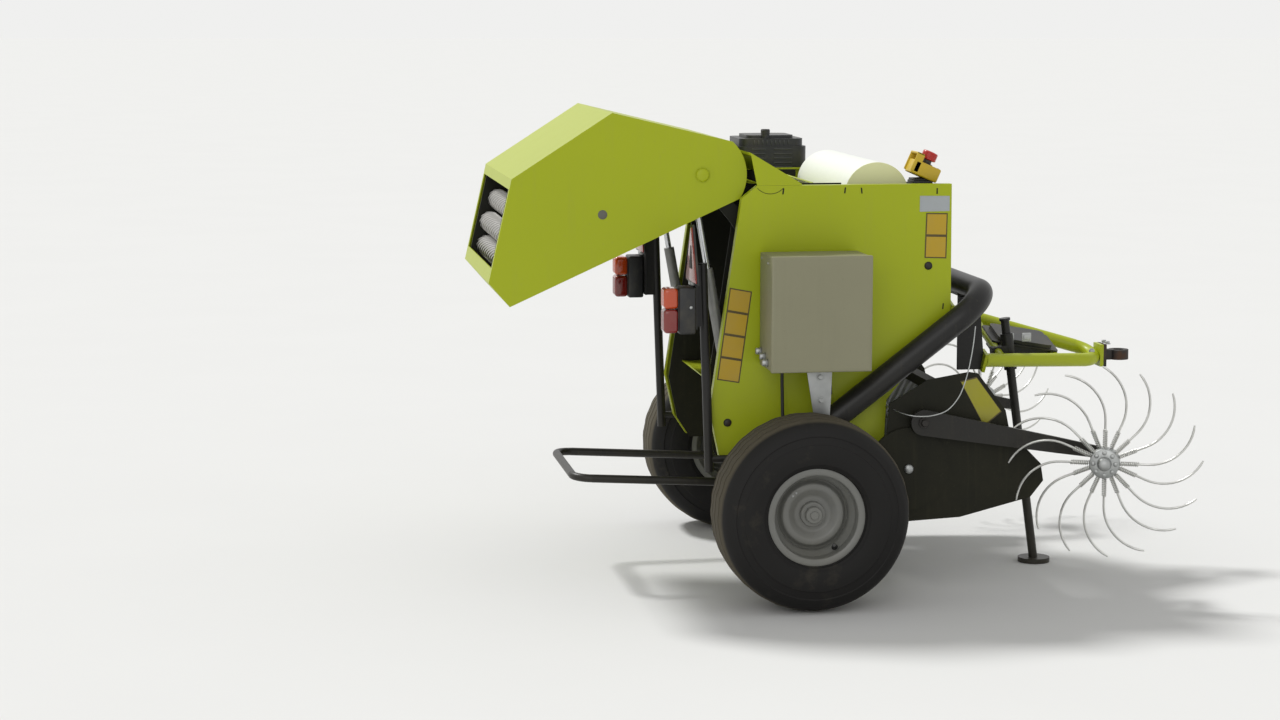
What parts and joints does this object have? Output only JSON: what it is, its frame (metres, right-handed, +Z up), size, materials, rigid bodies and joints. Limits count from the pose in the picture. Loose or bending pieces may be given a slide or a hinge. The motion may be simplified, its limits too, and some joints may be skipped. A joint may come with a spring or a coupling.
{
  "type": "round baler",
  "caption": "Small towed round baler with its tailgate open, a pickup reel, two star wheels, an engine on the side and a net roll on top.",
  "frame": {"origin": "on the ground, at the middle of the length and width over all pieces, with the tailgate open", "axes": "+X forward towards the towing eye, +Y to the left side with the engine, +Z up"},
  "size_m": [1.6758, 1.2412, 1.1529],
  "materials": {
    "paint": "gloss",
    "frame_black": "satin",
    "galvanised": "matte",
    "roller_steel": "satin",
    "tyre": "matte",
    "rim_silver": "satin",
    "net": "matte",
    "box_grey": "matte",
    "engine_metal": "satin",
    "engine_black": "matte",
    "stop_yellow": "gloss",
    "lamp": "gloss",
    "reflector": "gloss",
    "rod_chrome": "polished"
  },
  "bodies": {
    "root": {"axle_beam": "frame_black", "main_frame": "frame_black", "drawbar": "paint", "towing_eye": "frame_black", "stand_sleeve": "frame_black", "chamber_wall_right": "frame_black", "chamber_wall_left": "frame_black", "side_panel_right": "paint", "side_panel_left": "paint", "upper_cover": "paint", "chamber_sheet": "paint", "body_bearings": "galvanised", "net_tray": "frame_black", "stop_switch": "stop_yellow", "control_box": "box_grey", "oil_box": "frame_black", "engine_block": "engine_metal", "engine_shroud": "engine_black", "engine_tank": "engine_black", "engine_cleaner": "engine_black", "engine_silencer": "engine_metal", "lamp_posts": "frame_black", "tail_lamps": "lamp", "reflectors": "reflector", "bale_ramp": "frame_black"},
    "wheel_right": {"tyre_right": "tyre", "rim_right": "rim_silver"},
    "wheel_left": {"tyre_left": "tyre", "rim_left": "rim_silver"},
    "stand": {"stand_leg": "frame_black"},
    "tailgate": {"tailgate_skin": "paint", "tailgate_walls": "frame_black"},
    "net": {"net_roll": "net"},
    "pickup": {"pickup_frame": "frame_black", "stripper_bands": "paint"},
    "reel": {"pickup_reel": "galvanised"},
    "ram_tube_right": {"gate_ram_barrel_right": "galvanised"},
    "ram_rod_right": {"gate_ram_rod_right": "rod_chrome"},
    "star_arm_right": {"star_arm_right": "frame_black"},
    "star_wheel_right": {"star_wheel_right": "galvanised"},
    "ram_tube_left": {"gate_ram_barrel_left": "galvanised"},
    "ram_rod_left": {"gate_ram_rod_left": "rod_chrome"},
    "star_arm_left": {"star_arm_left": "frame_black"},
    "star_wheel_left": {"star_wheel_left": "galvanised"},
    "body_roller_1": {"body_roller_1": "roller_steel"},
    "body_roller_2": {"body_roller_2": "roller_steel"},
    "body_roller_3": {"body_roller_3": "roller_steel"},
    "body_roller_4": {"body_roller_4": "roller_steel"},
    "body_roller_5": {"body_roller_5": "roller_steel"},
    "gate_roller_1": {"gate_roller_1": "roller_steel"},
    "gate_roller_2": {"gate_roller_2": "roller_steel"},
    "gate_roller_3": {"gate_roller_3": "roller_steel"},
    "gate_roller_4": {"gate_roller_4": "roller_steel"},
    "gate_roller_5": {"gate_roller_5": "roller_steel"},
    "gate_roller_6": {"gate_roller_6": "roller_steel"},
    "gate_roller_7": {"gate_roller_7": "roller_steel"}
  },
  "joints": [
    {"name": "wheel_turns_right", "type": "hinge", "parent": "root", "child": "wheel_right", "pos_m": [-0.10808, -0.515, 0.2285], "axis": [0, 1, 0], "continuous": true},
    {"name": "wheel_turns_left", "type": "hinge", "parent": "root", "child": "wheel_left", "pos_m": [-0.10808, 0.515, 0.2285], "axis": [0, 1, 0], "continuous": true},
    {"name": "stand_lifts", "type": "slide", "parent": "root", "child": "stand", "axis": [-0.1392, 0, 0.9903], "range_m": [0, 0.33]},
    {"name": "tailgate_closes", "type": "hinge", "parent": "root", "child": "tailgate", "pos_m": [-0.32808, 0, 1.005], "axis": [0, -1, 0], "range_deg": [0, 57.2]},
    {"name": "ram_swings_right", "type": "hinge", "parent": "root", "child": "ram_tube_right", "pos_m": [-0.24308, -0.281, 0.405], "axis": [0, -1, 0], "range_deg": [0, 5.8]},
    {"name": "ram_slides_right", "type": "slide", "parent": "ram_tube_right", "child": "ram_rod_right", "axis": [0.1774, 0, -0.9841], "range_m": [0, 0.0505]},
    {"name": "ram_swings_left", "type": "hinge", "parent": "root", "child": "ram_tube_left", "pos_m": [-0.24308, 0.281, 0.405], "axis": [0, -1, 0], "range_deg": [0, 5.8]},
    {"name": "ram_slides_left", "type": "slide", "parent": "ram_tube_left", "child": "ram_rod_left", "axis": [0.1774, 0, -0.9841], "range_m": [0, 0.0505]},
    {"name": "body_roller_turns_1", "type": "hinge", "parent": "root", "child": "body_roller_1", "pos_m": [-0.05774, 0, 0.94085], "axis": [0, 1, 0], "continuous": true},
    {"name": "body_roller_turns_2", "type": "hinge", "parent": "root", "child": "body_roller_2", "pos_m": [-0.01729, 0, 0.89546], "axis": [0, 1, 0], "continuous": true},
    {"name": "body_roller_turns_3", "type": "hinge", "parent": "root", "child": "body_roller_3", "pos_m": [0.01227, 0, 0.84234], "axis": [0, 1, 0], "continuous": true},
    {"name": "body_roller_turns_4", "type": "hinge", "parent": "root", "child": "body_roller_4", "pos_m": [0.02954, 0, 0.78405], "axis": [0, 1, 0], "continuous": true},
    {"name": "body_roller_turns_5", "type": "hinge", "parent": "root", "child": "body_roller_5", "pos_m": [0.03367, 0, 0.7234], "axis": [0, 1, 0], "continuous": true},
    {"name": "gate_roller_turns_1", "type": "hinge", "parent": "tailgate", "child": "gate_roller_1", "pos_m": [-0.57036, 0, 1.05741], "axis": [0, 1, 0], "continuous": true},
    {"name": "gate_roller_turns_2", "type": "hinge", "parent": "tailgate", "child": "gate_roller_2", "pos_m": [-0.62781, 0, 1.03751], "axis": [0, 1, 0], "continuous": true},
    {"name": "gate_roller_turns_3", "type": "hinge", "parent": "tailgate", "child": "gate_roller_3", "pos_m": [-0.67953, 0, 1.00557], "axis": [0, 1, 0], "continuous": true},
    {"name": "gate_roller_turns_4", "type": "hinge", "parent": "tailgate", "child": "gate_roller_4", "pos_m": [-0.72304, 0, 0.96311], "axis": [0, 1, 0], "continuous": true},
    {"name": "gate_roller_turns_5", "type": "hinge", "parent": "tailgate", "child": "gate_roller_5", "pos_m": [-0.75624, 0, 0.91218], "axis": [0, 1, 0], "continuous": true},
    {"name": "gate_roller_turns_6", "type": "hinge", "parent": "tailgate", "child": "gate_roller_6", "pos_m": [-0.77753, 0, 0.85524], "axis": [0, 1, 0], "continuous": true},
    {"name": "gate_roller_turns_7", "type": "hinge", "parent": "tailgate", "child": "gate_roller_7", "pos_m": [-0.78588, 0, 0.79502], "axis": [0, 1, 0], "continuous": true},
    {"name": "net_turns", "type": "hinge", "parent": "root", "child": "net", "pos_m": [0.10492, 0, 0.95], "axis": [0, 1, 0], "continuous": true},
    {"name": "pickup_lifts", "type": "hinge", "parent": "root", "child": "pickup", "pos_m": [0.08192, 0, 0.315], "axis": [0, -1, 0], "range_deg": [-4, 8]},
    {"name": "reel_turns", "type": "hinge", "parent": "pickup", "child": "reel", "pos_m": [0.16192, 0, 0.3], "axis": [0, 1, 0], "continuous": true},
    {"name": "star_arm_lifts_right", "type": "hinge", "parent": "pickup", "child": "star_arm_right", "pos_m": [0.19192, -0.404, 0.415], "axis": [0, -1, 0], "range_deg": [-10, 20]},
    {"name": "star_turns_right", "type": "hinge", "parent": "star_arm_right", "child": "star_wheel_right", "pos_m": [0.60392, -0.53, 0.328], "axis": [0.3746, 0.9272, 0], "continuous": true},
    {"name": "star_arm_lifts_left", "type": "hinge", "parent": "pickup", "child": "star_arm_left", "pos_m": [0.19192, 0.404, 0.415], "axis": [0, -1, 0], "range_deg": [-10, 20]},
    {"name": "star_turns_left", "type": "hinge", "parent": "star_arm_left", "child": "star_wheel_left", "pos_m": [0.60392, 0.53, 0.328], "axis": [0.3746, -0.9272, 0], "continuous": true}
  ],
  "couplings": [
    {"joint": "ram_swings_right", "follows": "tailgate_closes", "ratio": 0.1},
    {"joint": "ram_slides_right", "follows": "tailgate_closes", "m_per_rad": 0.04985},
    {"joint": "ram_swings_left", "follows": "tailgate_closes", "ratio": 0.1},
    {"joint": "ram_slides_left", "follows": "tailgate_closes", "m_per_rad": 0.04985},
    {"joint": "body_roller_turns_2", "follows": "body_roller_turns_1", "ratio": 1},
    {"joint": "body_roller_turns_3", "follows": "body_roller_turns_1", "ratio": 1},
    {"joint": "body_roller_turns_4", "follows": "body_roller_turns_1", "ratio": 1},
    {"joint": "body_roller_turns_5", "follows": "body_roller_turns_1", "ratio": 1},
    {"joint": "gate_roller_turns_1", "follows": "body_roller_turns_1", "ratio": 1},
    {"joint": "gate_roller_turns_2", "follows": "body_roller_turns_1", "ratio": 1},
    {"joint": "gate_roller_turns_3", "follows": "body_roller_turns_1", "ratio": 1},
    {"joint": "gate_roller_turns_4", "follows": "body_roller_turns_1", "ratio": 1},
    {"joint": "gate_roller_turns_5", "follows": "body_roller_turns_1", "ratio": 1},
    {"joint": "gate_roller_turns_6", "follows": "body_roller_turns_1", "ratio": 1},
    {"joint": "gate_roller_turns_7", "follows": "body_roller_turns_1", "ratio": 1}
  ]
}
